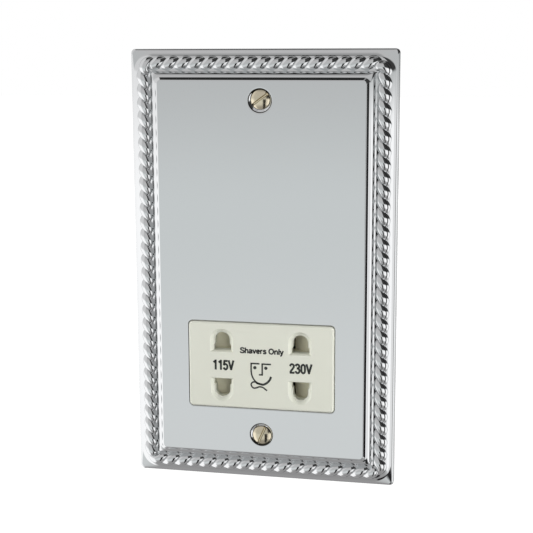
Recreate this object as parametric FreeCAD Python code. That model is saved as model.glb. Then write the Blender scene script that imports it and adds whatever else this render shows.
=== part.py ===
"""Dual-voltage shaver socket: a chrome plate with a rope border, its moulded insert and the unit behind it.

Millimetres. X runs to the right, Z up, and the front faces -Y. The wall is the plane Y = 0, and the
origin is the middle of the two fixing screws on that plane.
"""

import FreeCAD, Part
import math
import os

# Front plate
plate_width = 95.0
plate_height = 155.0
plate_corner_radius = 2.0
plate_edge_height = 1.4        # where the slope would meet the outer wall
edge_round = 0.6               # broken edge between the outer wall and the slope
border_width = 9.6             # sloping border, in plan
border_top_height = 5.2        # height of the slope's inner end
bevel_width = 0.75             # step from the border up to the panel
panel_front_height = 6.2       # height of the flat panel
panel_corner_radius = 2.2
sheet_thickness = 1.0
edge_wall_thickness = 1.1

# Rope border
rope_inset = 5.1               # centre line of the rope from the plate's edge, in plan
rope_width = 5.4
rope_rise = 2.1                # crest of a strand above the slope
rope_crown = 0.25              # rise of the round that trims the strands' ends, above their crests
rope_groove_depth = 1.0        # crest to groove
rope_lay_angle = 48.0          # between a strand and the run of the rope
rope_root = 0.5                # how far the strands are let into the slope
across_strand_count = 18
upright_strand_count = 31
strand_flat_count = 6          # flats that make a strand's round back
crown_flat_count = 5           # flats that make the round over the rope

# Fixing screws
fixing_centres = 120.6
screw_shank_radius = 1.75
screw_neck_radius = 1.45       # undercut between the head and the thread
screw_neck_length = 1.2
screw_length = 25.0
screw_head_radius = 3.45
screw_crown_radius = 2.0       # flat on top of the raised head
screw_crown_rise = 0.9
screw_slot_width = 0.95
screw_slot_depth = 0.8
screw_head_sink = 0.45         # rim of the head below the panel
screw_hole_clearance = 0.35
countersink_radius = 4.0
dish_wall = 0.7                # metal round the dish, behind the panel
screw_slot_angles = {1: 35.0, -1: 70.0}   # top and bottom screw, from the horizontal

# Socket insert
insert_width = 52.8
insert_height = 31.3
insert_centre_z = -34.4
insert_proud = 0.9
insert_corner_radius = 1.4
insert_edge_bevel = 0.5
insert_fit = 0.15              # gap between the insert and the plate's cut-out
insert_flange_margin = 1.15    # flange beyond the face, up and down
insert_wall = 1.6
insert_back_y = 13.0

# Pin apertures, measured from the middle of each outlet
outlet_spacing = 28.5
pin_bar_width = 6.4
pin_bar_inner = 5.3            # edge nearest the middle of the outlet
pin_bar_height = 2.1
pin_arch_width = 5.5
pin_arch_top = 11.9
aperture_depth = 4.2
bevel_ring_width = 8.4         # outline of the bevel round an aperture
bevel_ring_depth = 1.2
bevel_ring_inner_slope = 0.5   # bevel along the flat edge

# Interlocking shutter
shutter_travel = 6.4
shutter_length = 44.0
shutter_edge = 1.55            # above and below the windows
shutter_thickness = 5.0
shutter_ramp_drop = 4.2
shutter_gap = 0.3              # running clearance on every side
window_margin = 0.3            # window and ramp beyond the aperture, up and down
spring_pocket_depth = 9.0
spring_pocket_height = 7.0
spring_pocket_thickness = 3.4
spring_strip = 0.45            # thickness of the strip, measured across the pocket
spring_width = 5.6
spring_fold_count = 6
bridge_width = 6.0
bridge_height = 9.0
bridge_thickness = 0.6

# Contacts and their carrier
carrier_fit = 0.15
contact_strip = 0.5
contact_length = 6.5
contact_gap = 4.6              # between the two leaves
contact_mouth = 6.2
contact_front_y = 3.4
contact_base_y = 10.4
chamber_clearance = 0.25
tag_width = 2.4
tag_reach = 1.6                # solder tag behind the carrier
rail_width = 2.0
rail_thickness = 0.8
rail_spacing = 5.0
common_bar_height = 3.0
common_bar_overhang = 4.0      # beyond the 115 V contact, for its lead

# Rear housing
housing_wall = 1.8
housing_gap = 0.3              # round the insert
shelf_y = 17.3                 # outside of the lower back wall
housing_corner_radius = 3.0
lead_notch_width = 40.0
ear_width = 9.0
ear_reach = 8.4
ear_thickness = 2.0
ear_corner = 2.5
lug_x = 24.0
lug_from_housing = 3.9
lug_width = 4.0
lug_thickness = 0.8
lug_foot = 3.0
lug_clearance = 0.2
vent_width = 1.8
vent_length = 15.0
vent_pitch = 4.5
vent_count = 9
insulation_thickness = 0.8

# Transformer
core_stack = 20.0
core_width = 48.0              # standard lamination, six legs wide
core_top_gap = 4.5             # between the strap and the housing's end
cutout_gap = 1.0               # between the cut-out and the insulation sheet
coil_side_gap = 1.2            # between the bobbin's flanges and the outer legs
coil_back_gap = 0.9            # between the bobbin's flanges and the housing's back
bobbin_fit = 0.2
bobbin_wall = 1.0
winding_corner = 2.5
tape_thickness = 0.3
strap_thickness = 1.0
strap_inset = 1.0              # edge of the core left bare beside the strap
strap_tab_width = 5.0
strap_tab_reach = 4.0
cutout_length = 13.0
cutout_height = 7.0
cutout_thickness = 3.4

# Terminals
terminal_width = 8.0
terminal_height = 9.0
terminal_length = 10.0
terminal_bore_radius = 1.7
terminal_bore_rise = 3.6       # bore centre above the shelf
terminal_z = -44.0
terminal_tag_offset = 3.5      # tag below the middle of its terminal
terminal_tag_thickness = 0.8
terminal_tag_end_y = 13.6
terminal_screw_radius = 1.5
terminal_screw_proud = 1.6
terminal_earth_x = -24.0
terminal_live_x = 8.0
terminal_neutral_x = 20.0
barrier_thickness = 1.4
barrier_gap = 0.3
rib_height = 20.0              # ribs behind the carrier
earth_strap_width = 6.0
earth_strap_thickness = 0.5

# Internal leads
lead_flat_count = 6
lead_width = 1.3
lead_line_y = 14.2             # behind the carrier
lead_face_rise = 4.5           # above the partition, where a lead comes to the front of the coil
lead_bend = 3.5                # from a corner of the route to where its bend begins
lead_bend_share = 0.45         # most of a run that a bend may take up
lead_touch = 0.1

# How far a cutter runs past the face that it starts from
cutter_spill = 1.0

# Levels and lines that follow from the sizes above
V = FreeCAD.Vector
panel_y = -panel_front_height
panel_back_y = panel_y + sheet_thickness
face_y = panel_y - insert_proud
flange_back_y = face_y + aperture_depth
shutter_front_y = flange_back_y + shutter_gap
shutter_back_y = shutter_front_y + shutter_thickness
shutter_middle_y = (shutter_front_y + shutter_back_y) / 2
carrier_front_y = shutter_back_y + shutter_gap
outlet_x = outlet_spacing / 2
pin_half = pin_bar_width / 2
pin_middle = (pin_bar_inner + pin_arch_top) / 2
shutter_half_x = shutter_length / 2
channel_half_x = shutter_half_x + shutter_travel + shutter_gap
shutter_half_z = pin_arch_top + window_margin + shutter_edge
channel_half_z = shutter_half_z + shutter_gap
insert_wall_z = channel_half_z + insert_wall
flange_half_x = channel_half_x + insert_wall
flange_half_z = max(insert_height / 2, insert_wall_z) + insert_flange_margin
chamber_half = contact_mouth / 2 + contact_strip + chamber_clearance
rail_half_x = outlet_x - chamber_half - insert_wall
housing_inner_x = flange_half_x + housing_gap
housing_inner_z = flange_half_z - insert_centre_z + housing_gap
housing_half_x = housing_inner_x + housing_wall
housing_half_z = housing_inner_z + housing_wall
housing_floor_y = shelf_y - housing_wall
core_leg = core_width / 6      # outer leg, yoke and window; the middle leg is twice this
window_length = core_width / 2
core_top_z = housing_inner_z - core_top_gap - strap_thickness
core_yoke_z = core_top_z - core_leg
core_foot_z = core_yoke_z - window_length
partition_z = core_foot_z - core_leg
partition_low_z = partition_z - housing_wall
ear_back_y = panel_back_y + ear_thickness
lug_z = housing_half_z + lug_from_housing
sheet_back_y = panel_back_y + insulation_thickness
tube_out = bobbin_fit + bobbin_wall
flange_out = core_leg - coil_side_gap
winding_out = flange_out - 2 * tape_thickness
coil_front_y = sheet_back_y + cutout_gap + cutout_thickness
core_front_y = coil_front_y + tape_thickness + winding_out
core_middle_y = core_front_y + core_stack / 2
core_back_y = core_front_y + core_stack
housing_back_y = core_back_y + flange_out + coil_back_gap
housing_depth = housing_back_y + housing_wall
bobbin_low_z = core_foot_z + bobbin_fit
bobbin_high_z = core_yoke_z - bobbin_fit
bobbin_middle_z = (bobbin_low_z + bobbin_high_z) / 2
terminal_tag_z = terminal_z - terminal_tag_offset
terminal_places = {"terminal_earth": terminal_earth_x, "terminal_live": terminal_live_x,
                   "terminal_neutral": terminal_neutral_x}
lead_rise_z = insert_centre_z + flange_half_z + lead_touch
lead_face_z = partition_z + lead_face_rise
slope = math.atan2(border_top_height - plate_edge_height, border_width)


def box(x0, x1, y0, y1, z0, z1):
    """Block between two corners."""
    return Part.makeBox(abs(x1 - x0), y1 - y0, z1 - z0, V(min(x0, x1), y0, z0))


def cylinder_y(x, z, radius, y0, y1):
    """Round bar along Y."""
    return Part.makeCylinder(radius, y1 - y0, V(x, y0, z), V(0, 1, 0))


def prism(points, along):
    """Closed outline of straight edges, carried along a vector."""
    corners = [V(*p) for p in points]
    return Part.Face(Part.makePolygon(corners + corners[:1])).extrude(V(*along))


def rounded_wire(width, height, radius, y, centre_z=0.0):
    """Rectangle with round corners, or sharp ones where the radius is 0, in a plane of constant Y."""
    w, h = width / 2, height / 2
    if radius == 0:
        corners = [V(x, y, centre_z + z) for x, z in ((w, h), (w, -h), (-w, -h), (-w, h), (w, h))]
        return Part.makePolygon(corners)
    near = radius * (1 - math.sqrt(0.5))
    arcs = []
    for sx, sz in ((1, 1), (1, -1), (-1, -1), (-1, 1)):
        ends = [V(sx * (w - radius), y, centre_z + sz * h), V(sx * w, y, centre_z + sz * (h - radius))]
        first, last = ends if sx == sz else ends[::-1]
        arcs.append((first, V(sx * (w - near), y, centre_z + sz * (h - near)), last))
    edges = []
    for arc, following in zip(arcs, arcs[1:] + arcs[:1]):
        edges += [Part.Arc(*arc).toShape(), Part.LineSegment(arc[2], following[0]).toShape()]
    return Part.Wire(edges)


def rounded_block(width, height, radius, y0, y1, centre_z=0.0):
    """Rounded rectangle carried from y0 to y1."""
    return Part.Face(rounded_wire(width, height, radius, y0, centre_z)).extrude(V(0, y1 - y0, 0))


def fuse_all(shapes):
    """One solid from several that touch or overlap."""
    return shapes[0].fuse(shapes[1:]).removeSplitter()


def slope_height(inset):
    """Height of the sloping border at a distance in from the plate's edge."""
    return plate_edge_height + inset * math.tan(slope)


def dish(levels, back_y):
    """Stack of tapers: each level is an inset from the plate's edge, a height and a corner radius."""
    wires = [rounded_wire(plate_width - 2 * inset, plate_height - 2 * inset, radius, -height)
             for inset, height, radius in levels]
    inset, height, radius = levels[0]
    stack = [rounded_block(plate_width - 2 * inset, plate_height - 2 * inset, radius, -height, back_y)]
    for lower, upper in zip(wires, wires[1:]):
        stack.append(Part.makeLoft([lower, upper], True, True))
    return fuse_all(stack)


def round_points(width, rise, flats):
    """Points along an arc of the given chord and rise, evenly turned, as (across, height)."""
    radius = (width ** 2 / 4 + rise ** 2) / (2 * rise)
    half = 2 * math.atan2(2 * rise, width)
    turns = [half * (2 * k / flats - 1) for k in range(flats + 1)]
    return [(radius * math.sin(a), rise - radius * (1 - math.cos(a))) for a in turns]


def strand_slab(run, count):
    """Parallel round-backed strands at the lay angle, on the plane z = 0 with the rope's run along x."""
    lay = math.radians(rope_lay_angle)
    step = run / count * math.sin(lay)
    along = V(math.cos(lay), math.sin(lay), 0)
    across = V(-math.sin(lay), math.cos(lay), 0)
    spare = math.ceil(2 * rope_width / step)
    reach = run / 2 * math.cos(lay) + rope_width
    half_count = count / 2 + spare
    groove = rope_rise - rope_groove_depth
    back = round_points(step, rope_groove_depth, strand_flat_count)
    section = [((n + 0.5 - half_count) * step + u, groove + h)
               for n in range(count + 2 * spare) for u, h in back[:-1]]
    side = half_count * step
    section += [(side, groove), (side, -rope_root), (-side, -rope_root)]
    points = [across * u - along * reach + V(0, 0, h) for u, h in section]
    return prism(points, along * (2 * reach))


def rope_run(run, count, half_across):
    """One mitred run of rope along the top border of a plate that reaches half_across up from its middle."""
    half = run / 2 + rope_width
    crown = round_points(rope_width, rope_rise + rope_crown, crown_flat_count)
    section = crown + [(rope_width / 2, -rope_root), (-rope_width / 2, -rope_root)]
    rope = strand_slab(run, count).common(prism([(-half, t, h) for t, h in section], (2 * half, 0, 0)))
    seat = FreeCAD.Placement(V(0, -slope_height(rope_inset), half_across - rope_inset),
                             FreeCAD.Rotation(V(1, 0, 0), 90 + math.degrees(slope)))
    rope.transformShape(seat.Matrix)
    outer, inner = run / 2 + 2 * rope_inset, run / 2 - 2 * rope_inset
    high, low = half_across + rope_inset, half_across - 3 * rope_inset
    mitre = [(-outer, 0, high), (outer, 0, high), (inner, 0, low), (-inner, 0, low)]
    return rope.common(prism(mitre, (0, 2 * panel_y, 0)))


def rope_border():
    """Four mitred runs, all with the same twist."""
    across = rope_run(plate_width - 2 * rope_inset, across_strand_count, plate_height / 2)
    upright = rope_run(plate_height - 2 * rope_inset, upright_strand_count, plate_width / 2)
    runs = []
    for shape, angle in ((across, 0), (across, 180), (upright, 90), (upright, 270)):
        turned = shape.copy()
        turned.rotate(V(0, 0, 0), V(0, 1, 0), angle)
        runs.append(turned)
    return runs


def front_plate():
    """Pressed sheet with its rope border, cut-out for the insert and dished screw holes."""
    bevel_inset = border_width + bevel_width
    plate = dish([(0.0, plate_edge_height - edge_round, plate_corner_radius),
                  (edge_round, slope_height(edge_round), plate_corner_radius),
                  (border_width, border_top_height, panel_corner_radius + bevel_width),
                  (bevel_inset, panel_front_height, panel_corner_radius)], 0.0)
    drop = sheet_thickness / math.cos(slope)
    end = border_width + sheet_thickness
    hollow = dish([(edge_wall_thickness, slope_height(edge_wall_thickness) - drop, 0),
                   (end, slope_height(end) - drop, 0),
                   (bevel_inset + sheet_thickness, -panel_back_y, 0)], 0.0)
    plate = plate.cut(hollow)
    hole_radius = screw_shank_radius + screw_hole_clearance
    dish_depth = countersink_radius - hole_radius
    boss_radius = hole_radius + sheet_thickness + dish_wall
    for z in (fixing_centres / 2, -fixing_centres / 2):
        boss = cylinder_y(0, z, boss_radius, panel_back_y, panel_y + dish_depth + dish_wall)
        taper = Part.makeCone(countersink_radius, hole_radius, dish_depth, V(0, panel_y, z), V(0, 1, 0))
        plate = plate.fuse(boss).cut([taper, cylinder_y(0, z, hole_radius, panel_y, 0)])
    plate = plate.cut(rounded_block(insert_width + 2 * insert_fit, insert_height + 2 * insert_fit,
                                    insert_corner_radius + insert_fit, 2 * panel_y, 0, insert_centre_z))
    return plate.fuse(rope_border()).removeSplitter()


def fixing_screw(side):
    """Raised countersunk slotted screw, seated in the plate's dish."""
    rim_y = panel_y + screw_head_sink
    neck_y = rim_y + screw_head_radius - screw_neck_radius
    thread_y = neck_y + screw_neck_length
    tip_y = rim_y + screw_length
    top_y = rim_y - screw_crown_rise
    profile = [(0, tip_y), (screw_shank_radius, tip_y), (screw_shank_radius, thread_y),
               (screw_neck_radius, thread_y), (screw_neck_radius, neck_y), (screw_head_radius, rim_y),
               (screw_crown_radius, top_y), (0, top_y)]
    corners = [V(x, y, 0) for x, y in profile]
    screw = Part.Face(Part.makePolygon(corners + corners[:1])).revolve(V(0, 0, 0), V(0, 1, 0), 360)
    slot = box(-screw_head_radius, screw_head_radius, top_y - cutter_spill, top_y + screw_slot_depth,
               -screw_slot_width / 2, screw_slot_width / 2)
    slot.rotate(V(0, 0, 0), V(0, 1, 0), -screw_slot_angles[side])
    screw = screw.cut(slot)
    screw.translate(V(0, 0, side * fixing_centres / 2))
    return screw


def pin_aperture():
    """Cutter for the aperture above the middle of an outlet at the origin, with the bevel round its mouth."""
    through_y = flange_back_y + shutter_gap
    arch_radius = pin_arch_width / 2
    arch_z = pin_arch_top - arch_radius
    ring_radius = bevel_ring_width / 2
    ring_y = face_y + bevel_ring_depth
    foot = pin_bar_inner - bevel_ring_inner_slope
    cuts = [cylinder_y(0, arch_z, arch_radius, face_y, through_y),
            box(-arch_radius, arch_radius, face_y, through_y, pin_bar_inner, arch_z),
            box(-pin_half, pin_half, face_y, through_y, pin_bar_inner, pin_bar_inner + pin_bar_height),
            Part.makeCone(ring_radius, pin_half, bevel_ring_depth, V(0, face_y, arch_z), V(0, 1, 0))]
    mouth = [(-ring_radius, foot), (ring_radius, foot), (ring_radius, arch_z), (-ring_radius, arch_z)]
    floor = [(-pin_half, pin_bar_inner), (pin_half, pin_bar_inner), (pin_half, arch_z), (-pin_half, arch_z)]
    rings = [Part.makePolygon([V(x, y, z) for x, z in ring + ring[:1]])
             for ring, y in ((mouth, face_y), (floor, ring_y))]
    cuts.append(Part.makeLoft(rings, True, True))
    return fuse_all(cuts)


def socket_insert():
    """White moulding: face, flange behind the plate, and the open box that holds shutter and contacts."""
    face = rounded_block(insert_width, insert_height, insert_corner_radius, face_y, panel_back_y)
    rim = [e for e in face.Edges if all(abs(v.Y - face_y) < 1e-6 for v in e.Vertexes)]
    face = face.makeChamfer(insert_edge_bevel, rim)
    flange = box(-flange_half_x, flange_half_x, panel_back_y, flange_back_y, -flange_half_z, flange_half_z)
    walls = box(-flange_half_x, flange_half_x, flange_back_y, insert_back_y, -insert_wall_z, insert_wall_z)
    channel = box(-channel_half_x, channel_half_x, flange_back_y, insert_back_y,
                  -channel_half_z, channel_half_z)
    core_half = outlet_x - bevel_ring_width / 2 - insert_wall
    hollow = box(-core_half, core_half, flange_back_y - aperture_depth / 2, flange_back_y,
                 -channel_half_z, channel_half_z)
    body = fuse_all([face, flange, walls]).cut([channel, hollow])
    for x in (-outlet_x, outlet_x):
        for turn in (0, 180):
            cutter = pin_aperture()
            cutter.rotate(V(0, 0, 0), V(0, 1, 0), turn)
            cutter.translate(V(x, 0, 0))
            body = body.cut(cutter)
    body.translate(V(0, 0, insert_centre_z))
    return body


def shutter_slide():
    """Sliding interlock: a ramp in front of each aperture, a window beside it, a pocket in each end."""
    half = shutter_half_x
    slide = box(-half, half, shutter_front_y, shutter_back_y, -shutter_half_z, shutter_half_z)
    low, high = pin_bar_inner - window_margin, pin_arch_top + window_margin
    above, behind = shutter_front_y - cutter_spill, shutter_back_y + cutter_spill
    for side in (1, -1):
        outer = side * (outlet_x + pin_half)
        inner = side * (outlet_x - pin_half)
        window = side * (outlet_x - pin_half - shutter_travel)
        outline = [(outer, shutter_front_y), (inner, shutter_front_y + shutter_ramp_drop), (inner, behind),
                   (window, behind), (window, above), (outer, above)]
        for z in (low, -high):
            slide = slide.cut(prism([(x, y, z) for x, y in outline], (0, 0, high - low)))
        slide = slide.cut(box(side * (half - spring_pocket_depth), side * half,
                              shutter_middle_y - spring_pocket_thickness / 2,
                              shutter_middle_y + spring_pocket_thickness / 2,
                              -spring_pocket_height / 2, spring_pocket_height / 2))
    slide.translate(V(0, 0, insert_centre_z))
    return slide.cut(bridge_contact())


def shutter_spring(side):
    """Folded strip spring, from the end of a pocket in the shutter to the insert's side wall."""
    start = shutter_half_x - spring_pocket_depth
    fold = (channel_half_x - start) / spring_fold_count
    low_y = shutter_middle_y - spring_pocket_thickness / 2 + shutter_gap
    swing = spring_pocket_thickness - 2 * shutter_gap - spring_strip
    line = [(start + n * fold, low_y + swing * (n % 2)) for n in range(spring_fold_count + 1)]
    outline = line + [(x, y + spring_strip) for x, y in line[::-1]]
    spring = prism([(side * x, y, -spring_width / 2) for x, y in outline], (0, 0, spring_width))
    spring.translate(V(0, 0, insert_centre_z))
    return spring


def bridge_contact():
    """Moving switch contact, let into the back of the shutter."""
    return box(-bridge_width / 2, bridge_width / 2, shutter_back_y - bridge_thickness, shutter_back_y,
               insert_centre_z - bridge_height / 2, insert_centre_z + bridge_height / 2)


def contact_outline(inward):
    """Two-leaf contact seen along Z: mouth, leaves and base, drawn in by a distance."""
    half = contact_gap / 2 + contact_strip - inward
    mouth = contact_mouth / 2 + contact_strip - inward
    lead_in = contact_front_y + contact_mouth - contact_gap
    base = contact_base_y + contact_strip - inward
    return [(-mouth, contact_front_y), (-half, lead_in), (-half, base), (half, base), (half, lead_in),
            (mouth, contact_front_y)]


def pin_contact(x, row):
    """Spring contact: two leaves, a base and a solder tag through the carrier."""
    outline = contact_outline(0.0) + contact_outline(contact_strip)[::-1]
    strip = prism([(px, py, pin_middle - contact_length / 2) for px, py in outline], (0, 0, contact_length))
    tag = box(-tag_width / 2, tag_width / 2, contact_base_y, insert_back_y + tag_reach,
              pin_middle - contact_strip / 2, pin_middle + contact_strip / 2)
    contact = fuse_all([strip, tag])
    contact.rotate(V(0, 0, 0), V(0, 1, 0), 0 if row > 0 else 180)
    contact.translate(V(x, 0, insert_centre_z))
    return contact


def contact_carrier():
    """Moulded block behind the shutter: a chamber for each contact, troughs for the rails and the bar."""
    c = chamber_clearance
    half_x, half_z = channel_half_x - carrier_fit, channel_half_z - carrier_fit
    cuts = []
    base_y = contact_base_y + contact_strip
    for x in (-outlet_x, outlet_x):
        for row in (1, -1):
            z = row * pin_middle
            cuts.append(box(x - chamber_half, x + chamber_half, carrier_front_y, base_y,
                            z - contact_length / 2 - c, z + contact_length / 2 + c))
            cuts.append(box(x - tag_width / 2 - c, x + tag_width / 2 + c, base_y, insert_back_y,
                            z - contact_strip / 2 - c, z + contact_strip / 2 + c))
    for row in (1, -1):
        z0, z1 = row * rail_spacing / 2 - rail_width / 2, row * rail_spacing / 2 + rail_width / 2
        cuts.append(box(-rail_half_x, rail_half_x, carrier_front_y, carrier_front_y + rail_thickness, z0, z1))
        cuts.append(box(-tag_width / 2, tag_width / 2, carrier_front_y, insert_back_y, z0, z1))
    left, right, z0, z1 = common_bar_span()
    cuts.append(box(left - c, right + c, insert_back_y - contact_strip, insert_back_y, z0 - c, z1))
    block = box(-half_x, half_x, carrier_front_y, insert_back_y, -half_z, half_z).cut(cuts)
    block.translate(V(0, 0, insert_centre_z))
    return block


def switch_rail(row):
    """Fixed switch contact: two end pads joined by a low strip that clears the bridge at rest, and a tag."""
    c = chamber_clearance / 2
    half_x = rail_half_x - c
    z0 = row * rail_spacing / 2 - rail_width / 2 + c
    z1 = z0 + rail_width - 2 * c
    low_y = carrier_front_y + rail_thickness / 2
    back_y = carrier_front_y + rail_thickness
    parts = [box(-half_x, half_x, low_y, back_y, z0, z1),
             box(-tag_width / 2 + c, tag_width / 2 - c, low_y, insert_back_y + tag_reach, z0, z1)]
    for side in (1, -1):
        parts.append(box(side * half_x, side * (half_x - rail_width), carrier_front_y, back_y, z0, z1))
    rail = fuse_all(parts)
    rail.translate(V(0, 0, insert_centre_z))
    return rail


def common_bar_span():
    """Left, right, bottom and top of the bar under the lower contact tags, from the insert's middle."""
    top = -pin_middle - contact_strip / 2
    return (-outlet_x - common_bar_overhang, outlet_x + tag_width / 2, top - common_bar_height, top)


def common_bar():
    """Strip let into the carrier's back that joins the two lower contacts, with a solder tag for its lead."""
    left, right, z0, z1 = common_bar_span()
    y0 = insert_back_y - contact_strip
    bar = box(left, right, y0, insert_back_y, z0, z1)
    tag = box(left, left + tag_width, y0, insert_back_y + tag_reach, z1 - contact_strip, z1)
    bar = fuse_all([bar, tag])
    bar.translate(V(0, 0, insert_centre_z))
    return bar


def rear_housing():
    """Moulded tub: shallow behind the socket, deep round the transformer, ears for the plate's lugs."""
    width, corner = 2 * housing_half_x, housing_corner_radius
    deep_height = housing_half_z - partition_low_z
    deep_middle_z = housing_half_z - deep_height / 2
    blocks = [rounded_block(width, 2 * housing_half_z, corner, panel_back_y, shelf_y),
              rounded_block(width, deep_height, corner, panel_back_y, housing_depth, deep_middle_z)]
    shell = fuse_all(blocks + ears() + terminal_barriers())
    x, notch_x = housing_inner_x, lead_notch_width / 2
    notch_y = sheet_back_y + barrier_gap
    cuts = [box(-x, x, panel_back_y, housing_floor_y, -housing_inner_z, partition_low_z),
            box(-x, x, panel_back_y, housing_back_y, partition_z, housing_inner_z),
            box(-x, x, panel_back_y, notch_y, partition_low_z, partition_z),
            box(-notch_x, notch_x, notch_y, core_front_y - barrier_gap, partition_low_z, partition_z)]
    for side in (1, -1):
        leg = core_width / 2 - lug_clearance
        cuts.append(box(side * leg, side * (leg + strap_thickness + 2 * lug_clearance),
                        strap_tab_y() - lug_clearance, strap_tab_y() + strap_tab_width + lug_clearance,
                        partition_low_z, partition_z))
    for x in terminal_places.values():
        slot_x = tag_width / 2 + lug_clearance
        slot_z = terminal_tag_thickness / 2 + lug_clearance
        cuts.append(box(x - slot_x, x + slot_x, housing_floor_y, shelf_y,
                        terminal_tag_z - slot_z, terminal_tag_z + slot_z))
    tub = shell.cut(cuts + vents())
    return tub.fuse(carrier_ribs()).removeSplitter()


def ears():
    """Four lugs of the moulding beyond its ends, each with a slot for a bent lug of the plate."""
    shapes = []
    start = housing_inner_z
    end = housing_half_z + ear_reach
    half = ear_width / 2
    outline = [(-half, start), (half, start), (half, end - ear_corner), (half - ear_corner, end),
               (ear_corner - half, end), (-half, end - ear_corner)]
    slot_x = lug_width / 2 + lug_clearance
    slot_z = lug_thickness / 2 + lug_clearance
    for sx in (1, -1):
        for sz in (1, -1):
            ear = prism([(sx * lug_x + x, panel_back_y, sz * z) for x, z in outline], (0, ear_thickness, 0))
            slot = box(sx * lug_x - slot_x, sx * lug_x + slot_x, panel_back_y, ear_back_y,
                       sz * lug_z - slot_z, sz * lug_z + slot_z)
            shapes.append(ear.cut(slot))
    return shapes


def terminal_barriers():
    """Insulating walls on the shelf: one on each side of a terminal and one behind it."""
    shapes = []
    z0 = -housing_half_z + housing_corner_radius
    z1 = terminal_z + terminal_length / 2 + barrier_gap
    z2 = z1 + barrier_thickness
    root_y, top_y = shelf_y - housing_wall / 2, shelf_y + terminal_height
    inside = terminal_width / 2 + barrier_gap
    outside = inside + barrier_thickness
    for x in terminal_places.values():
        for side in (1, -1):
            shapes.append(box(x + side * inside, x + side * outside, root_y, top_y, z0, z2))
        shapes.append(box(x - inside, x + inside, root_y, top_y, z1, z2))
    return shapes


def vents():
    """Slots through the back over the transformer, in two rows."""
    middle = (partition_low_z + housing_half_z) / 2
    slots = []
    for n in range(vent_count):
        x0 = (n - (vent_count - 1) / 2) * vent_pitch - vent_width / 2
        for z in (middle - vent_length - vent_pitch / 2, middle + vent_pitch / 2):
            slots.append(box(x0, x0 + vent_width, housing_back_y, housing_depth, z, z + vent_length))
    return slots


def carrier_ribs():
    """Ribs on the housing's floor that hold the carrier and the insert up to the plate."""
    half = rib_height / 2
    return [box(x - barrier_thickness / 2, x + barrier_thickness / 2, insert_back_y, housing_floor_y,
                insert_centre_z - half, insert_centre_z + half)
            for x in (barrier_thickness - channel_half_x, channel_half_x - barrier_thickness)]


def plate_lugs():
    """Strips brazed to the back of the plate and bent over the ears; one also holds the earth strap."""
    lugs = []
    for sx in (1, -1):
        for sz in (1, -1):
            on_strap = earth_strap_thickness if (sx, sz) == (-1, -1) else 0.0
            seat_y = ear_back_y + on_strap
            bent_y = seat_y + lug_thickness
            near, far = lug_z - lug_thickness / 2, lug_z + lug_thickness / 2
            foot = near + lug_foot
            section = [(panel_back_y, near), (bent_y, near), (bent_y, foot), (seat_y, foot), (seat_y, far),
                       (panel_back_y, far)]
            x = sx * lug_x - lug_width / 2
            lugs.append(prism([(x, y, sz * z) for y, z in section], (lug_width, 0, 0)))
    return lugs


def insulation_sheet():
    """Sheet between the transformer and the metal plate."""
    low = insert_centre_z + flange_half_z + barrier_gap
    high = housing_inner_z - barrier_gap
    half = housing_inner_x - barrier_gap
    return box(-half, half, panel_back_y, sheet_back_y, low, high)


def core_e_stack():
    """E laminations, with the yoke on top."""
    half = core_width / 2
    right = [(half, core_foot_z), (half - core_leg, core_foot_z), (half - core_leg, core_yoke_z),
             (core_leg, core_yoke_z), (core_leg, core_foot_z)]
    left = [(-x, z) for x, z in right[::-1]]
    outline = [(-half, core_top_z), (half, core_top_z)] + right + left
    return prism([(x, core_front_y, z) for x, z in outline], (0, core_stack, 0))


def core_i_stack():
    """I laminations that close the magnetic circuit."""
    return box(-core_width / 2, core_width / 2, core_front_y, core_back_y, partition_z, core_foot_z)


def strap_tab_y():
    """Front edge of the strap's tabs, which go through the partition inside the shallow part."""
    return core_front_y + strap_inset + strap_tab_width / 2


def core_strap():
    """Steel strap over the core, with a tab on each side bent over under the partition."""
    half, t = core_width / 2, strap_thickness
    y0, y1 = core_front_y + strap_inset, core_back_y - strap_inset
    outline = [(-half - t, partition_z), (-half, partition_z), (-half, core_top_z), (half, core_top_z),
               (half, partition_z), (half + t, partition_z), (half + t, core_top_z + t),
               (-half - t, core_top_z + t)]
    parts = [prism([(x, y0, z) for x, z in outline], (0, y1 - y0, 0))]
    low = partition_low_z - t
    for side in (1, -1):
        tab = [(half, partition_z), (half + t, partition_z), (half + t, partition_low_z),
               (half + strap_tab_reach, partition_low_z), (half + strap_tab_reach, low), (half, low)]
        parts.append(prism([(side * x, strap_tab_y(), z) for x, z in tab], (0, strap_tab_width, 0)))
    return fuse_all(parts)


def coil_block(grow, corner, z0, z1):
    """Block round the middle leg with its corners cut back, larger than the leg by grow on every side."""
    x, y = core_leg + grow, core_stack / 2 + grow
    quarter = [(x, y - corner), (x - corner, y)] if corner else [(x, y)]
    outline = quarter + [(-a, b) for a, b in quarter[::-1]]
    outline += [(-a, -b) for a, b in outline]
    return prism([(a, core_middle_y + b, z0) for a, b in outline], (0, 0, z1 - z0))


def bobbin():
    """Split bobbin: a tube with three flanges, so the two windings never meet."""
    parts = [coil_block(tube_out, 0, bobbin_low_z, bobbin_high_z)]
    for z in (bobbin_low_z, bobbin_middle_z - bobbin_wall / 2, bobbin_high_z - bobbin_wall):
        parts.append(coil_block(flange_out, 0, z, z + bobbin_wall))
    return fuse_all(parts).cut(coil_block(bobbin_fit, 0, bobbin_low_z, bobbin_high_z))


def winding_levels(place):
    """Bottom and top of the lower or the upper winding."""
    if place == "lower":
        return bobbin_low_z + bobbin_wall, bobbin_middle_z - bobbin_wall / 2
    return bobbin_middle_z + bobbin_wall / 2, bobbin_high_z - bobbin_wall


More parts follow.
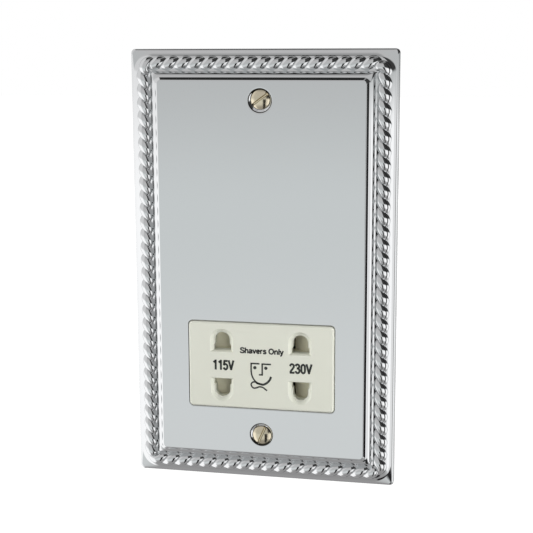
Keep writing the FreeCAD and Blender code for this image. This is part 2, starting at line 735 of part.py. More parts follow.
def winding(place):
    """One winding, in its own half of the bobbin."""
    z0, z1 = winding_levels(place)
    return coil_block(winding_out, winding_corner, z0, z1).cut(coil_block(tube_out, 0, z0, z1))


def winding_tape(place):
    """Wrap of tape round a winding."""
    z0, z1 = winding_levels(place)
    outer = coil_block(winding_out + tape_thickness, winding_corner, z0, z1)
    return outer.cut(coil_block(winding_out, winding_corner, z0, z1))


def thermal_cutout():
    """Self-resetting cut-out, bedded on the front of the lower winding."""
    z = sum(winding_levels("lower")) / 2
    return box(-cutout_length / 2, cutout_length / 2, coil_front_y - cutout_thickness, coil_front_y,
               z - cutout_height / 2, z + cutout_height / 2)


def terminal(x, lift):
    """Brass pillar terminal: wire bore along Z, screw hole from the back, tag through the shelf."""
    foot_y, top_y = shelf_y + lift, shelf_y + terminal_height
    z0, z1 = terminal_z - terminal_length / 2, terminal_z + terminal_length / 2
    block = box(x - terminal_width / 2, x + terminal_width / 2, foot_y, top_y, z0, z1)
    tag = box(x - tag_width / 2, x + tag_width / 2, terminal_tag_end_y, foot_y,
              terminal_tag_z - terminal_tag_thickness / 2, terminal_tag_z + terminal_tag_thickness / 2)
    bore_y = shelf_y + terminal_bore_rise
    bore = Part.makeCylinder(terminal_bore_radius, terminal_length, V(x, bore_y, z0), V(0, 0, 1))
    return fuse_all([block, tag]).cut([bore, cylinder_y(x, terminal_z, terminal_screw_radius, bore_y, top_y)])


def terminal_screw(x):
    """Slotted clamp screw, backed off to leave the wire bore free."""
    y0 = shelf_y + terminal_bore_rise + terminal_bore_radius + barrier_gap
    y1 = shelf_y + terminal_height + terminal_screw_proud
    slot = box(x - terminal_screw_radius, x + terminal_screw_radius, y1 - terminal_screw_proud / 2, y1,
               terminal_z - screw_slot_width / 2, terminal_z + screw_slot_width / 2)
    return cylinder_y(x, terminal_z, terminal_screw_radius, y0, y1).cut(slot)


def earth_strap():
    """Bent strip from under the earth terminal, round the housing's end, to a lug of the plate."""
    x = terminal_earth_x
    t, half = earth_strap_thickness, earth_strap_width / 2
    top_z, bend_z, end_z = terminal_z + terminal_length / 2, -housing_half_z, -housing_half_z - ear_reach
    section = [(shelf_y, top_z), (shelf_y, bend_z), (ear_back_y, bend_z), (ear_back_y, end_z),
               (ear_back_y + t, end_z), (ear_back_y + t, bend_z - t), (shelf_y + t, bend_z - t),
               (shelf_y + t, top_z)]
    strap = prism([(x - half, y, z) for y, z in section], (2 * half, 0, 0))
    slot_x = lug_width / 2 + lug_clearance
    slot_z = lug_thickness / 2 + lug_clearance
    tag_z = terminal_tag_thickness / 2 + lug_clearance
    x0, x1 = x - slot_x, x + slot_x
    return strap.cut([box(x0, x1, ear_back_y, ear_back_y + t, -lug_z - slot_z, -lug_z + slot_z),
                      box(x0, x1, shelf_y, shelf_y + t, terminal_tag_z - tag_z, terminal_tag_z + tag_z)])


def lead(points):
    """Insulated wire along straight runs joined by tangent arcs."""
    pts = [V(*p) for p in points]
    edges, last = [], pts[0]
    for before, corner, after in zip(pts, pts[1:], pts[2:]):
        back, on = before - corner, after - corner
        cut = min(lead_bend, lead_bend_share * min(back.Length, on.Length))
        half_turn = (math.pi - back.getAngle(on)) / 2
        back.normalize()
        on.normalize()
        radius = cut / math.tan(half_turn)
        inward = (back + on).normalize()
        middle = corner + inward * (math.hypot(radius, cut) - radius)
        first, end = corner + back * cut, corner + on * cut
        edges += [Part.LineSegment(last, first).toShape(), Part.Arc(first, middle, end).toShape()]
        last = end
    edges.append(Part.LineSegment(last, pts[-1]).toShape())
    step = 2 * math.pi / lead_flat_count
    corner_radius = lead_width / 2 / math.cos(step / 2)
    ring = Part.makePolygon([V(corner_radius * math.cos(step * k), corner_radius * math.sin(step * k), 0)
                             for k in range(lead_flat_count + 1)])
    ring.Placement = FreeCAD.Placement(pts[0], FreeCAD.Rotation(V(0, 0, 1), pts[1] - pts[0]))
    return Part.Wire(edges).makePipeShell([ring], True, True)


def coil_lead(x, start_z, end_x, end_y, end_z):
    """Lead from a tag behind the carrier, through the partition's notch, to the front of the coil."""
    return lead([(x, lead_line_y, start_z), (x, lead_line_y, lead_rise_z), (end_x, end_y, lead_face_z),
                 (end_x, end_y, end_z)])


def leads():
    """The six internal leads, by name."""
    upper_tag = insert_centre_z + pin_middle + contact_strip / 2 + lead_touch
    load_tag = insert_centre_z + rail_spacing / 2 + rail_width / 2 + lead_touch
    supply_tag = insert_centre_z - rail_spacing / 2
    bar_left, *_, bar_top = common_bar_span()
    terminal_tag = terminal_tag_z + terminal_tag_thickness / 2 + lead_touch
    face = coil_front_y - tape_thickness - lead_width / 2 - lead_touch
    lower, upper = (sum(winding_levels(place)) / 2 for place in ("lower", "upper"))
    cutout_y = coil_front_y - cutout_thickness / 2
    cutout_z = lower - cutout_height / 2 - lead_touch
    bar_x = bar_left + tag_width / 2
    bar_tag = insert_centre_z + bar_top + lead_touch
    return {
        "lead_live": lead([(terminal_live_x, lead_line_y, terminal_tag),
                           (terminal_live_x, lead_line_y, supply_tag),
                           (tag_width / 2 + lead_touch, lead_line_y, supply_tag)]),
        "lead_switched": coil_lead(0.0, load_tag, -cutout_length / 4, cutout_y, cutout_z),
        "lead_neutral": coil_lead(terminal_neutral_x, terminal_tag, outlet_x - 2 * lead_width, face, lower),
        "lead_common": coil_lead(bar_x, bar_tag, -outlet_x + 2 * lead_width, face, upper),
        "lead_115v": coil_lead(-outlet_x, upper_tag, -outlet_x + 5 * lead_width, face, upper),
        "lead_230v": coil_lead(outlet_x, upper_tag, outlet_x - 5 * lead_width, face, upper),
    }


def save(name, *shapes):
    """Writes one node, as one solid or a group of separate ones."""
    solids = [solid for shape in shapes for solid in shape.Solids]
    out = solids[0] if len(solids) == 1 else Part.makeCompound(solids)
    out.exportStep("parts/" + name + ".step")
    print(name, len(solids), "solid(s)", round(out.Volume, 1), "mm3", "" if out.isValid() else "NOT VALID")


def main():
    os.makedirs("parts", exist_ok=True)
    save("front_plate", front_plate())
    save("plate_lugs", *plate_lugs())
    save("fixing_screws", fixing_screw(1), fixing_screw(-1))
    save("socket_insert", socket_insert())
    save("shutter_slide", shutter_slide())
    save("shutter_spring_left", shutter_spring(-1))
    save("shutter_spring_right", shutter_spring(1))
    save("bridge_contact", bridge_contact())
    save("contact_carrier", contact_carrier())
    for volts, x in (("115v", -outlet_x), ("230v", outlet_x)):
        save("contact_" + volts + "_upper", pin_contact(x, 1))
        save("contact_" + volts + "_lower", pin_contact(x, -1))
    save("common_bar", common_bar())
    save("switch_rail_supply", switch_rail(-1))
    save("switch_rail_load", switch_rail(1))
    save("rear_housing", rear_housing())
    save("insulation_sheet", insulation_sheet())
    save("core_e_stack", core_e_stack())
    save("core_i_stack", core_i_stack())
    save("core_strap", core_strap())
    save("bobbin", bobbin())
    for name, place in (("primary", "lower"), ("secondary", "upper")):
        save(name + "_winding", winding(place))
        save(name + "_tape", winding_tape(place))
    save("thermal_cutout", thermal_cutout())
    for name, x in terminal_places.items():
        save(name, terminal(x, earth_strap_thickness if name == "terminal_earth" else 0.0))
    save("terminal_screws", *[terminal_screw(x) for x in terminal_places.values()])
    save("earth_strap", earth_strap())
    for name, shape in leads().items():
        save(name, shape)


main()
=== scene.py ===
import math

import bmesh
import bpy
import numpy as np
from mathutils import Matrix, Vector
from mathutils.geometry import delaunay_2d_cdt


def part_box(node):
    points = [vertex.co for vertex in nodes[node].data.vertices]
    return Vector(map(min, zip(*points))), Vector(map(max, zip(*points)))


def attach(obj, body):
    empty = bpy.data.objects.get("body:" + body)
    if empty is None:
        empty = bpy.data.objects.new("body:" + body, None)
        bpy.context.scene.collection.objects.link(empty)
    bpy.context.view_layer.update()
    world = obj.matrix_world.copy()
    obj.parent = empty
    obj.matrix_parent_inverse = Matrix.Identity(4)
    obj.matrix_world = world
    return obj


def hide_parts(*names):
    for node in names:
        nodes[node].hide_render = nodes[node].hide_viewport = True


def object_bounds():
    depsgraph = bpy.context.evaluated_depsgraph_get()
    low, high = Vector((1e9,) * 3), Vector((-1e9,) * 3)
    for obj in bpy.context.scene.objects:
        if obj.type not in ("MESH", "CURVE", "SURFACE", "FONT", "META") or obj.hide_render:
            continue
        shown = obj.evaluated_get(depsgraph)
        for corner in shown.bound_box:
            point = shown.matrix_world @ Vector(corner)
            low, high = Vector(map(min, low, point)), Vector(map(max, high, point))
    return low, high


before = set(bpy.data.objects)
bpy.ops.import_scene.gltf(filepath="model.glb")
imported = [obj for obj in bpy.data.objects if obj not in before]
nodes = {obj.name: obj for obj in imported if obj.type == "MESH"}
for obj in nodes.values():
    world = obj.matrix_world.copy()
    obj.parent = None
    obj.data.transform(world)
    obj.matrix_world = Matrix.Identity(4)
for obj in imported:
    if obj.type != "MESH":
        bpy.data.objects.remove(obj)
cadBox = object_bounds()
mm = 0.001                      # shapes are worked out in millimetres, meshes are in metres
nearest = 1e-7                  # points of a flat sheet closer than this count as one
weld = 2e-7                     # so do points of a finished mesh, in metres
print("frame loaded:", len(nodes), "nodes")


# Helpers for shapes

def roundedLoop(halfX, halfZ, radius, arcSteps):
    # rectangle with round corners as (x, z): each corner's centre plus radius times (cos, sin)
    turn = np.linspace(0, math.pi / 2, arcSteps)
    angle = turn + np.arange(4)[:, None] * math.pi / 2
    signX = np.array([1, -1, -1, 1])[:, None]
    signZ = np.array([1, 1, -1, -1])[:, None]
    x = signX * (halfX - radius) + radius * np.cos(angle)
    z = signZ * (halfZ - radius) + radius * np.sin(angle)
    return np.stack([x.ravel(), z.ravel()], 1)


def circleLoop(radius, steps):
    # circle as (x, z), evenly stepped
    angle = np.linspace(0, 2 * math.pi, steps, endpoint=False)
    return radius * np.stack([np.cos(angle), np.sin(angle)], 1)


def roundCorner(first, corner, last, steps):
    # quadratic curve from first to last that leans towards the corner between them
    first, corner, last = (np.array(p, float) for p in (first, corner, last))
    t = np.linspace(0, 1, steps)[:, None]
    return (1 - t) ** 2 * first + 2 * t * (1 - t) * corner + t ** 2 * last


def lift(loop, y, centreX=0.0, centreZ=0.0):
    # flat (x, z) loop set at depth y
    return np.stack([loop[:, 0] + centreX, np.full(len(loop), y), loop[:, 1] + centreZ], 1)


def ringQuads(rings, around):
    # quads between neighbouring rings of points, closed round each ring
    ring, step = np.meshgrid(np.arange(rings - 1), np.arange(around), indexing="ij")
    a = ring * around + step
    b = ring * around + (step + 1) % around
    return np.stack([a, b, b + around, a + around], -1).reshape(-1, 4).tolist()


def sheetQuads(rows, columns):
    # quads of an open grid of points
    row, column = np.meshgrid(np.arange(rows - 1), np.arange(columns - 1), indexing="ij")
    a = row * columns + column
    return np.stack([a, a + 1, a + columns + 1, a + columns], -1).reshape(-1, 4).tolist()


def stackRings(rings):
    # surface through a list of rings with as many points each
    return np.concatenate(rings), ringQuads(len(rings), len(rings[0]))


def fillFlat(loops, y):
    # flat sheet inside the first loop and outside the others, at depth y: triangles between all the points,
    # except those with every corner on one and the same hole
    points = np.concatenate(loops)
    owner = np.repeat(np.arange(len(loops)), [len(loop) for loop in loops])
    following = np.concatenate([np.roll(np.flatnonzero(owner == k), -1) for k in range(len(loops))])
    edges = list(enumerate(following.tolist()))
    found = np.array(delaunay_2d_cdt([Vector(p) for p in points.tolist()], edges, [], 1, nearest)[2])
    held = owner[found]
    inHole = (held.min(1) == held.max(1)) & (held[:, 0] > 0)
    return lift(points, y), found[~inHole].tolist()


def joinParts(parts):
    # one list of points and one of faces from several surfaces
    points = np.concatenate([p for p, faces in parts])
    starts = np.cumsum([0] + [len(p) for p, faces in parts]).tolist()
    faces = [[k + start for k in face] for (p, found), start in zip(parts, starts) for face in found]
    return points, faces


def finishMesh(mesh, sharpAngle):
    # weld the seams, turn the faces outwards, smooth all but the sharp edges
    work = bmesh.new()
    work.from_mesh(mesh)
    bmesh.ops.remove_doubles(work, verts=work.verts, dist=weld)
    bmesh.ops.recalc_face_normals(work, faces=work.faces)
    work.to_mesh(mesh)
    work.free()
    mesh.polygons.foreach_set("use_smooth", np.ones(len(mesh.polygons), bool))
    mesh.set_sharp_from_angle(angle=math.radians(sharpAngle))


def showPiece(name, mesh, material, replaced=(), body="root"):
    piece = bpy.data.objects.new(name, mesh)
    bpy.context.scene.collection.objects.link(piece)
    mesh.materials.clear()
    mesh.materials.append(material)
    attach(piece, body)
    if replaced:
        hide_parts(*replaced)
    return piece


def makePiece(name, parts, material, replaced=(), body="root", sharpAngle=35):
    points, faces = joinParts(parts)
    mesh = bpy.data.meshes.new(name)
    mesh.from_pydata((points * mm).tolist(), [], faces)
    finishMesh(mesh, sharpAngle)
    return showPiece(name, mesh, material, replaced, body)


# Helpers for materials

def toLinear(hexColour):
    # sRGB hex to linear: c / 12.92 near black, ((c + 0.055) / 1.055) ^ 2.4 above
    srgb = np.array([int(hexColour[k:k + 2], 16) for k in (1, 3, 5)]) / 255
    linear = np.where(srgb <= 0.04045, srgb / 12.92, ((srgb + 0.055) / 1.055) ** 2.4)
    return (*linear.tolist(), 1.0)


def addNode(tree, kind, inputs=None, **settings):
    # one node with its settings; an input is a plain value or the socket that feeds it
    node = tree.nodes.new(kind)
    for key, value in settings.items():
        setattr(node, key, value)
    for key, value in (inputs or {}).items():
        if isinstance(value, bpy.types.NodeSocket):
            tree.links.new(value, node.inputs[key])
        else:
            node.inputs[key].default_value = value
    return node


def plainMaterial(name, look):
    # colour mottled a little about its hex value, roughness that wanders with it, and a fine bump
    material = bpy.data.materials.new(name)
    material.use_nodes = True
    tree = material.node_tree
    tree.nodes.clear()
    place = addNode(tree, "ShaderNodeTexCoord").outputs["Object"]
    patches, grain = (addNode(tree, "ShaderNodeTexNoise", {
        "Vector": place, "Scale": 1 / (look[size] * mm), "Detail": detail}).outputs[0]
        for size, detail in (("patchMm", 2.0), ("grainMm", 3.0)))
    colour = toLinear(look["colour"])[:3]
    dark, light = (tuple(c * share for c in colour) + (1.0,) for share in look["shade"])
    mix = addNode(tree, "ShaderNodeMix", {"Factor": patches, "A": dark, "B": light}, data_type="RGBA")
    rough = addNode(tree, "ShaderNodeMapRange", {
        "Value": patches, "To Min": look["rough"][0], "To Max": look["rough"][1]})
    bump = addNode(tree, "ShaderNodeBump", {
        "Height": grain, "Strength": look["bump"], "Distance": look["bumpMm"] * mm})
    shader = addNode(tree, "ShaderNodeBsdfPrincipled", {
        "Base Color": mix.outputs["Result"], "Metallic": look["metallic"], "Roughness": rough.outputs[0],
        "Normal": bump.outputs[0]})
    addNode(tree, "ShaderNodeOutputMaterial", {"Surface": shader.outputs[0]})
    return material


# Chromium plate on pressed brass: a bright, slightly cold mirror with a faint ripple from the press
chrome = plainMaterial("chromiumPlate", {
    "colour": "#cfd0d1", "shade": (0.985, 1.0), "patchMm": 30.0, "rough": (0.03, 0.05),
    "metallic": 1.0, "grainMm": 14.0, "bump": 0.02, "bumpMm": 0.05})
# The plate's back is plated but not polished: duller, with a rolled grain
chromeBack = plainMaterial("dullPlate", {
    "colour": "#a9a8a4", "shade": (0.9, 1.05), "patchMm": 6.0, "rough": (0.28, 0.4),
    "metallic": 1.0, "grainMm": 0.6, "bump": 0.12, "bumpMm": 0.02})
# Countersinks: painted shade, a dark grey and dull plate in place of the shade in the recess round each screw
# head, which shows as a thin ring round each head
countersinkShade = plainMaterial("countersinkPaintedShade", {
    "colour": "#3d3b37", "shade": (0.8, 1.0), "patchMm": 0.8, "rough": (0.3, 0.42),
    "metallic": 1.0, "grainMm": 0.3, "bump": 0.1, "bumpMm": 0.02})
# Nickel plate on steel screws: warmer than chromium and a little softer
nickel = plainMaterial("nickelPlate", {
    "colour": "#d3c9b2", "shade": (0.9, 1.0), "patchMm": 1.2, "rough": (0.1, 0.2),
    "metallic": 1.0, "grainMm": 0.5, "bump": 0.05, "bumpMm": 0.02})
# Urea moulding, compression moulded: creamy white, soft gloss, a very faint orange peel
urea = plainMaterial("ureaMoulding", {
    "colour": "#d9dace", "shade": (0.975, 1.0), "patchMm": 5.0, "rough": (0.34, 0.42),
    "metallic": 0.0, "grainMm": 0.7, "bump": 0.06, "bumpMm": 0.02})
# Nylon shutter: grey-cream and matt, seen only in the shade of the apertures
shutterNylon = plainMaterial("nylonShutter", {
    "colour": "#f2eed6", "shade": (0.94, 1.0), "patchMm": 2.0, "rough": (0.45, 0.55),
    "metallic": 0.0, "grainMm": 0.4, "bump": 0.05, "bumpMm": 0.02})
# Polycarbonate housing with a spark-eroded mould finish: matt, finely pitted
polycarbonate = plainMaterial("sparkedPolycarbonate", {
    "colour": "#dcdbd3", "shade": (0.95, 1.0), "patchMm": 9.0, "rough": (0.5, 0.62),
    "metallic": 0.0, "grainMm": 0.35, "bump": 0.3, "bumpMm": 0.03})
# Printing ink on the insert: almost black, matt
ink = plainMaterial("printingInk", {
    "colour": "#2b2c2a", "shade": (0.85, 1.1), "patchMm": 0.6, "rough": (0.5, 0.6),
    "metallic": 0.0, "grainMm": 0.2, "bump": 0.05, "bumpMm": 0.01})
brass = plainMaterial("machinedBrass", {     # drawn bar, sawn and drilled: yellow, with fine lines
    "colour": "#d8b465", "shade": (0.88, 1.0), "patchMm": 1.5, "rough": (0.2, 0.32),
    "metallic": 1.0, "grainMm": 0.25, "bump": 0.1, "bumpMm": 0.02})
zinc = plainMaterial("zincPlate", {          # bright zinc on small steel parts: bluish, a little cloudy
    "colour": "#c3c6c8", "shade": (0.85, 1.0), "patchMm": 0.9, "rough": (0.25, 0.4),
    "metallic": 1.0, "grainMm": 0.3, "bump": 0.08, "bumpMm": 0.02})
bronze = plainMaterial("phosphorBronze", {   # rolled spring strip: reddish gold
    "colour": "#c99a66", "shade": (0.88, 1.0), "patchMm": 1.5, "rough": (0.22, 0.34),
    "metallic": 1.0, "grainMm": 0.3, "bump": 0.08, "bumpMm": 0.02})
phenolic = plainMaterial("blackPhenolic", {  # compression moulded: dark, faintly mottled
    "colour": "#37373a", "shade": (0.8, 1.1), "patchMm": 1.5, "rough": (0.4, 0.5),
    "metallic": 0.0, "grainMm": 0.4, "bump": 0.1, "bumpMm": 0.02})
nylon = plainMaterial("naturalNylon", {      # bobbin: ivory, slightly waxy
    "colour": "#d8d2bd", "shade": (0.94, 1.0), "patchMm": 4.0, "rough": (0.4, 0.5),
    "metallic": 0.0, "grainMm": 0.5, "bump": 0.05, "bumpMm": 0.02})
fibre = plainMaterial("pressedFibre", {      # insulation sheet: card-like, with a felted surface
    "colour": "#cfc8b3", "shade": (0.88, 1.04), "patchMm": 1.2, "rough": (0.75, 0.85),
    "metallic": 0.0, "grainMm": 0.25, "bump": 0.3, "bumpMm": 0.03})
steel = plainMaterial("siliconSteel", {      # stacked laminations: grey-blue, dull
    "colour": "#77797d", "shade": (0.75, 1.0), "patchMm": 0.5, "rough": (0.45, 0.6),
    "metallic": 1.0, "grainMm": 0.5, "bump": 0.3, "bumpMm": 0.05})
copper = plainMaterial("enamelledCopper", {  # varnished wire: red-brown under a clear coat
    "colour": "#a4562f", "shade": (0.7, 1.1), "patchMm": 0.35, "rough": (0.25, 0.35),
    "metallic": 1.0, "grainMm": 0.35, "bump": 0.4, "bumpMm": 0.1})
tape = plainMaterial("polyesterTape", {      # thin yellow film: glossy, lightly creased
    "colour": "#e0b83c", "shade": (0.92, 1.0), "patchMm": 3.0, "rough": (0.2, 0.3),
    "metallic": 0.0, "grainMm": 2.0, "bump": 0.1, "bumpMm": 0.05})
# PVC on the leads, one colour for each use: smooth, with a soft gloss
wireColours = {"brown": "#5b3a26", "blue": "#2f57a8", "white": "#e4e4e0", "red": "#b3261f"}
wires = {name: plainMaterial("pvc" + name.capitalize(), {
    "colour": colour, "shade": (0.94, 1.0), "patchMm": 2.0, "rough": (0.35, 0.45),
    "metallic": 0.0, "grainMm": 0.6, "bump": 0.04, "bumpMm": 0.02}) for name, colour in wireColours.items()}
print("materials made")


# Front plate: pressed sheet, its bevelled panel, the cut-out and the dished screw holes

plateHigh = np.array(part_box("front_plate")[1]) / mm
plate = {
    "halfX": plateHigh[0], "halfZ": plateHigh[2], "sheet": 1.0, "rimWall": 1.1, "innerRadius": 1.0,
    "edgeWall": 0.9, "edgeHeight": 1.4, "edgeRound": 0.7, "cornerRadius": 1.5, "slope": math.radians(22.0),
    "bevelFoot": 9.7, "footRadius": 1.8, "bevelTop": 10.65, "panelHeight": 6.2, "panelRadius": 1.3,
    "fold": 0.14, "crestFold": 0.21, "support": 0.35,
    "edgeSteps": 9, "footSteps": 6, "crestSteps": 8, "arcSteps": 12,
    "insertHalfX": 26.66, "insertHalfZ": 15.95, "insertZ": -34.4, "insertRadius": 1.55, "lipShare": 0.3,
    "screwZ": 60.3, "dishRadius": 4.3, "dishShift": 0.4, "ledgeOuter": 3.95, "ledgeInner": 3.3,
    "ledgeDrop": 0.38, "coneDrop": 0.62, "holeRadius": 2.1, "bossRadius": 3.8, "bossDepth": 2.6,
    "dishFold": 0.18, "lipSteps": 5, "holeSteps": 4, "dishSteps": 64,
    "backFacing": 0.3, "ledgeFacing": -0.85}
rope = {
    "inset": 4.85, "outerWidth": 2.9, "innerWidth": 2.45, "rise": 1.6, "cornerRadius": 3.3, "root": 0.1,
    "strands": 97, "twist": 0.65, "groove": 0.4, "fullness": 0.75, "stepsPerStrand": 26, "stepsAcross": 30,
    "sharpAngle": 45, "fillet": 0.9, "filletCut": 1.5, "filletReach": 0.6, "filletRise": 0.25, "filletSteps": 9,
    "backReach": 0.5, "channel": 0.65, "tuck": 0.1, "step": 7.8, "lean": 8.5, "shoulder": 9.3,
    "shoulderRadii": (0.5, 1.0, 2.2), "shoulderSteps": 15}


def slopeHeight(inset):
    return plate["edgeHeight"] + inset * math.tan(plate["slope"])


def plateRing(inset, height, radius):
    loop = roundedLoop(plate["halfX"] - inset, plate["halfZ"] - inset, radius, plate["arcSteps"])
    return lift(loop, -height)


def frontProfile():
    # (inset, height, corner radius) from the rim at the wall over the edge, up the flange to the foot of
    # the rope, from the rope's other side over a round shoulder to the band and the bevel to the panel
    p, r = plate, rope
    rim, fold = p["cornerRadius"], p["fold"]

    def onSlope(inset, radius, above=0.0):
        return np.array([inset, slopeHeight(inset) + above, radius])

    edge = roundCorner((0, p["edgeWall"], rim), (0, p["edgeHeight"], rim), onSlope(p["edgeRound"], rim),
                       p["edgeSteps"])
    turn = r["inset"] + r["cornerRadius"]        # how far in the rope's corners have their centres
    outside = r["inset"] - r["outerWidth"]
    under = outside + r["filletReach"]
    fillet = roundCorner(onSlope(outside - r["fillet"], turn - r["filletCut"]),
                         onSlope(outside, turn - outside),
                         onSlope(under, turn - under, r["filletRise"]), r["filletSteps"])
    inside = r["inset"] + r["innerWidth"] - r["tuck"]
    channel = [onSlope(inside, turn - inside, -r["channel"])]
    stepRadius, leanRadius, farRadius = r["shoulderRadii"]
    shoulder = roundCorner(onSlope(r["step"], stepRadius, -r["channel"]), onSlope(r["lean"], leanRadius),
                           onSlope(r["shoulder"], farRadius), r["shoulderSteps"])
    foot = onSlope(p["bevelFoot"], p["footRadius"])
    crest = np.array([p["bevelTop"], p["panelHeight"], p["panelRadius"]])
    up = (crest - foot) / np.linalg.norm(crest - foot)
    level = np.array([p["crestFold"], 0, 0])
    footFold = roundCorner(onSlope(p["bevelFoot"] - fold, p["footRadius"]), foot, foot + up * fold,
                           p["footSteps"])
    crestFold = roundCorner(crest - up * fold, crest, crest + level, p["crestSteps"])
    flat = crest + level + np.array([p["support"], 0, 0])
    return np.concatenate([[(p["rimWall"], 0, p["innerRadius"]), (0, 0, rim)], edge, fillet, channel, shoulder,
                           footFold, crestFold, [flat]])


def backProfile():
    # the same seen from behind: rim, inside of the slope, round the rope's corners, back of the panel
    p = plate
    drop = p["sheet"] / math.cos(p["slope"])
    end = p["bevelFoot"] + p["sheet"]
    last = p["bevelTop"] + p["sheet"]
    corner = p["innerRadius"]
    outside = rope["inset"] - rope["outerWidth"] + rope["backReach"]
    turn = rope["inset"] + rope["cornerRadius"]
    inside = turn - corner
    rows = [(p["rimWall"], 0, corner), (p["rimWall"], slopeHeight(p["rimWall"]) - drop, corner),
            (outside, slopeHeight(outside) - drop, turn - outside),
            (inside, slopeHeight(inside) - drop, corner), (end, slopeHeight(end) - drop, corner)]
    return rows + [(d, p["panelHeight"] - p["sheet"], corner) for d in (last, last + p["support"])]


def makePlate():
    p = plate
    front = [plateRing(*row) for row in frontProfile()]
    back = [plateRing(*row) for row in backProfile()]
    panelY, backY = -p["panelHeight"], p["sheet"] - p["panelHeight"]
    fold = p["dishFold"]
    grow = fold + p["support"]
    bend = fold * p["lipShare"]
    # cut-out for the insert, as (outset, depth) rows: a rounded lip, then straight through the sheet
    wall = [(grow, panelY), (fold, panelY), (bend, panelY + bend), (0, panelY + fold), (0, backY),
            (p["support"], backY)]
    window = [lift(roundedLoop(p["insertHalfX"] + d, p["insertHalfZ"] + d, p["insertRadius"] + d,
                               p["arcSteps"]), y, 0, p["insertZ"]) for d, y in wall]
    parts = [stackRings(front), stackRings(back), stackRings(window)]
    # dishes, as (radius, depth) rows: a rounded lip, a short step and a ledge set a little towards the plate's
    # middle, then the countersink, the hole and its collar behind, round the screw
    lip, hole, ledge, boss = p["dishRadius"], p["holeRadius"], p["ledgeInner"], p["bossRadius"]
    stepTop = (lip - fold / 2, panelY + fold / 2)
    lipRows = np.concatenate([[(lip + grow, panelY)], roundCorner((lip + fold, panelY), (lip, panelY), stepTop,
                                                                  p["lipSteps"])])
    stepRows = [stepTop, (p["ledgeOuter"], panelY + p["ledgeDrop"])]
    coneY, bossY = panelY + p["coneDrop"], panelY + p["bossDepth"]
    footY = coneY + ledge - hole
    coneRows = np.concatenate([
        [(ledge, coneY)],
        roundCorner((hole + fold, footY - fold), (hole, footY), (hole, footY + fold), p["holeSteps"]),
        [(hole, bossY), (boss, bossY), (boss, backY), (boss + p["support"], backY)]])
    turned = circleLoop(1.0, p["dishSteps"])
    screwPlaces = np.array([p["screwZ"], -p["screwZ"]])
    lipPlaces = screwPlaces - np.sign(screwPlaces) * p["dishShift"]
    for z, lipZ in zip(screwPlaces, lipPlaces):
        parts.append(stackRings([lift(turned * r, y, 0, lipZ) for r, y in lipRows]))
        parts.append(stackRings([lift(turned * r, y, 0, lipZ) for r, y in stepRows] +
                                [lift(turned * r, y, 0, z) for r, y in coneRows]))
    for outer, opening, radius, y, places in (
            (front[-1], window[0], lip + grow, panelY, lipPlaces),
            (back[-1], window[-1], boss + p["support"], backY, screwPlaces)):
        holes = [turned * radius + np.array([0, z]) for z in places]
        parts.append(fillFlat([outer[:, ::2], opening[:, ::2]] + holes, y))
    mesh = makePiece("pressedPlate", parts, chrome, ["front_plate"]).data
    mesh.materials.append(chromeBack)
    # third material: the painted shade of the countersinks
    mesh.materials.append(countersinkShade)
    middle, normal = np.empty(len(mesh.polygons) * 3), np.empty(len(mesh.polygons) * 3)
    mesh.polygons.foreach_get("center", middle)
    mesh.polygons.foreach_get("normal", normal)
    x, z = middle.reshape(-1, 3)[:, [0, 2]].T / mm
    facing = normal.reshape(-1, 3)[:, 1]
    # the back is dull, the countersinks take the painted shade of their recesses, and their ledges are polished
    # like the panel
    shadedDish = (np.hypot(x, abs(z) - lipPlaces[0]) < lip) & (facing > p["ledgeFacing"])
    finish = np.where(facing > p["backFacing"], 1, 2 * shadedDish).astype(np.int32)
    mesh.polygons.foreach_set("material_index", finish)


# Rope border: strands laid round the slope, as a closed tube with a twisted, lobed section

def ropePath(share):
    # points at shares of the way round a rounded rectangle, with the direction that points inwards
    r = rope["cornerRadius"]
    sideX = plate["halfX"] - rope["inset"] - r
    sideZ = plate["halfZ"] - rope["inset"] - r
    lengths = np.array([2 * sideZ, r * math.pi / 2, 2 * sideX, r * math.pi / 2] * 2)
    ends = np.cumsum(lengths)
    s = share % 1.0 * ends[-1]
    part = np.searchsorted(ends, s)
    along = s - (ends - lengths)[part]
    onArc = part % 2 == 1
    turn = part // 2 * math.pi / 2 + np.where(onArc, along / r, 0)
    centreX = np.array([sideX, sideX, sideX, -sideX, -sideX, -sideX, -sideX, sideX])[part]
    centreZ = np.array([-sideZ, sideZ, sideZ, sideZ, sideZ, -sideZ, -sideZ, -sideZ])[part]
    outX, outZ = np.cos(turn), np.sin(turn)
    step = np.where(onArc, 0, along)
    x = centreX + r * outX - step * outZ
    z = centreZ + r * outZ + step * outX
    return x, z, -outX, -outZ


